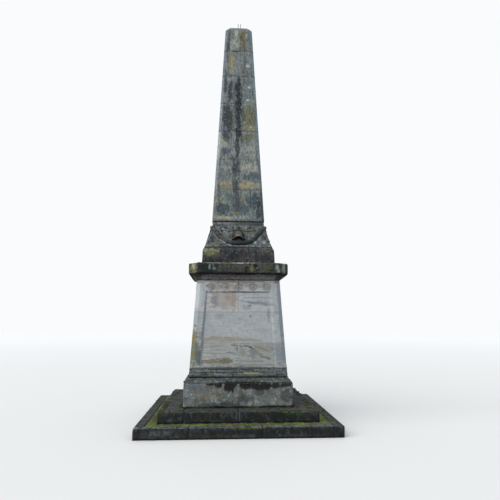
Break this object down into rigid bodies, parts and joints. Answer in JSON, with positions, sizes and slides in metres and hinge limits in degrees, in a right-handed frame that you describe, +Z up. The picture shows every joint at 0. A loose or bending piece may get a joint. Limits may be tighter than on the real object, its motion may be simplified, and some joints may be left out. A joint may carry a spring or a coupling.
{
  "type": "obelisk memorial",
  "caption": "Tapering stone obelisk on a panelled pedestal with a carved festoon block, cornice and stepped base.",
  "frame": {"origin": "middle of the base on the ground", "axes": "+Z up along the shaft, front face towards -Y, +X to the right of the front"},
  "size_m": [2.86, 2.86, 7.09],
  "materials": {
    "kerb_stone": "dark weathered sandstone",
    "step_stone": "mossy weathered sandstone",
    "fill": "mossy rubble and earth",
    "plinth_stone": "weathered sandstone",
    "base_stone": "weathered sandstone",
    "die_stone": "fine dressed sandstone",
    "cornice_stone": "dark weathered sandstone",
    "carved_stone": "dark weathered sandstone",
    "shaft_stone": "weathered sandstone",
    "mortar": "lime mortar",
    "iron": "rusted wrought iron"
  },
  "bodies": {
    "root": {"base_course_left": "base_stone", "base_course_mortar": "mortar", "base_course_right": "base_stone", "bed_moulding": "cornice_stone", "carved_block": "carved_stone", "cornice": "cornice_stone", "die_bottom_left": "die_stone", "die_bottom_right": "die_stone", "die_middle_back": "die_stone", "die_middle_front": "die_stone", "die_mortar": "mortar", "die_top_left": "die_stone", "die_top_right": "die_stone", "finial_dowels": "iron", "kerb_back": "kerb_stone", "kerb_front": "kerb_stone", "kerb_left": "kerb_stone", "kerb_mortar": "mortar", "kerb_right": "kerb_stone", "lower_step_fill": "fill", "plinth_back": "plinth_stone", "plinth_front": "plinth_stone", "plinth_mortar": "mortar", "shaft_bed": "mortar", "shaft_course_1": "shaft_stone", "shaft_course_2": "shaft_stone", "shaft_course_3": "shaft_stone", "shaft_course_4": "shaft_stone", "shaft_course_5": "shaft_stone", "shaft_course_6": "shaft_stone", "shaft_course_7": "shaft_stone", "shaft_mortar": "mortar", "socle": "carved_stone", "upper_step_back": "step_stone", "upper_step_front": "step_stone", "upper_step_hearting": "step_stone", "upper_step_left": "step_stone", "upper_step_mortar": "mortar", "upper_step_right": "step_stone"}
  },
  "joints": []
}
